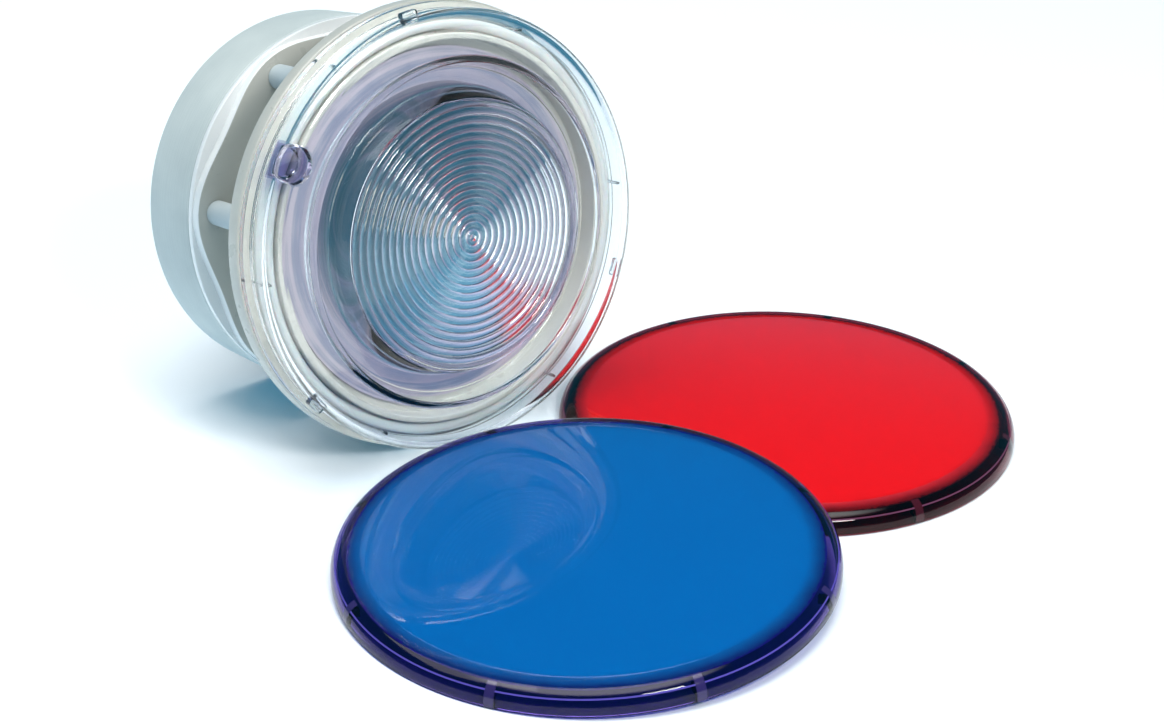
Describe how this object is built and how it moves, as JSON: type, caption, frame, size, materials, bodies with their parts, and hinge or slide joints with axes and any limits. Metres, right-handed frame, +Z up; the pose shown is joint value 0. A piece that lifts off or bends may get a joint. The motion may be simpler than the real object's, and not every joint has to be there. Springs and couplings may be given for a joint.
{
  "type": "underwater pond light",
  "caption": "Round wall-mounted underwater light with a ribbed clear lens, a water gap behind its flange, and two clip-on colour caps.",
  "frame": {"origin": "on the floor, under the centre of the box round the light and both caps", "axes": "+Z up; the light faces -Y with its nose tilted slightly up, and +X is to the right as seen from in front"},
  "size_m": [0.3944, 0.4184, 0.218],
  "materials": {
    "grey_pvc": "matte light grey plastic with fine turned lines",
    "white_plastic": "smooth white moulded plastic",
    "clear_lens": "clear moulded polycarbonate, glossy, ribbed centre",
    "blue_filter": "glossy transparent blue plastic",
    "red_filter": "glossy transparent red plastic",
    "rubber": "black rubber",
    "silicone": "translucent white silicone rubber",
    "steel": "stainless steel",
    "mirror_metal": "bright anodised aluminium",
    "ceramic": "unglazed steatite ceramic",
    "lamp_glass": "clear quartz glass",
    "black_plastic": "black nylon"
  },
  "bodies": {
    "light": {"cable_gland": "black_plastic", "gland_nut": "black_plastic", "lamp_housing": "white_plastic", "lamp_socket": "ceramic", "lead_1": "black_plastic", "lead_2": "black_plastic", "lens_oring": "silicone", "lobed_plate": "white_plastic", "plate_screw_1": "steel", "plate_screw_2": "steel", "plate_screw_3": "steel", "plate_screw_4": "steel", "plate_screw_5": "steel", "plate_screw_6": "steel", "plate_screw_7": "steel", "rear_drum": "grey_pvc", "reflector": "mirror_metal", "return_nipple": "white_plastic", "rim_gasket": "rubber", "socket_bracket": "steel", "standoff_1": "white_plastic", "standoff_2": "white_plastic", "standoff_3": "white_plastic", "standoff_4": "white_plastic", "standoff_5": "white_plastic", "standoff_6": "white_plastic", "standoff_7": "white_plastic"},
    "lens": {"clear_lens": "clear_lens"},
    "lamp": {"lamp_capsule": "lamp_glass", "lamp_pin_1": "steel", "lamp_pin_2": "steel"},
    "washer": {"slip_washer": "black_plastic"},
    "locknut": {"wall_locknut": "white_plastic"},
    "blue_cap": {"blue_lens_cap": "blue_filter"},
    "red_cap": {"red_lens_cap": "red_filter"}
  },
  "joints": [
    {"name": "lens_twist", "type": "hinge", "parent": "light", "child": "lens", "pos_m": [-0.0561, 0.03194, 0.11117], "axis": [0, -0.9878, 0.1557], "range_deg": [0, 20]},
    {"name": "lamp_pull", "type": "slide", "parent": "light", "child": "lamp", "axis": [0, -0.9878, 0.1557], "range_m": [0, 0.012]},
    {"name": "washer_travel", "type": "slide", "parent": "light", "child": "washer", "axis": [0, -0.9878, 0.1557], "range_m": [0, 0.02209]},
    {"name": "locknut_turn", "type": "hinge", "parent": "washer", "child": "locknut", "pos_m": [-0.0561, 0.19641, 0.08525], "axis": [0, -0.9878, 0.1557], "range_deg": [0, 3600]},
    {"name": "blue_cap_lift", "type": "slide", "parent": "light", "child": "blue_cap", "axis": [0, 0, 1], "range_m": [0, 0.12]},
    {"name": "red_cap_slide", "type": "slide", "parent": "light", "child": "red_cap", "axis": [0.9587, 0.2843, 0], "range_m": [0, 0.15]}
  ],
  "couplings": [
    {"joint": "washer_travel", "follows": "locknut_turn", "m_per_rad": 0.00035157}
  ]
}
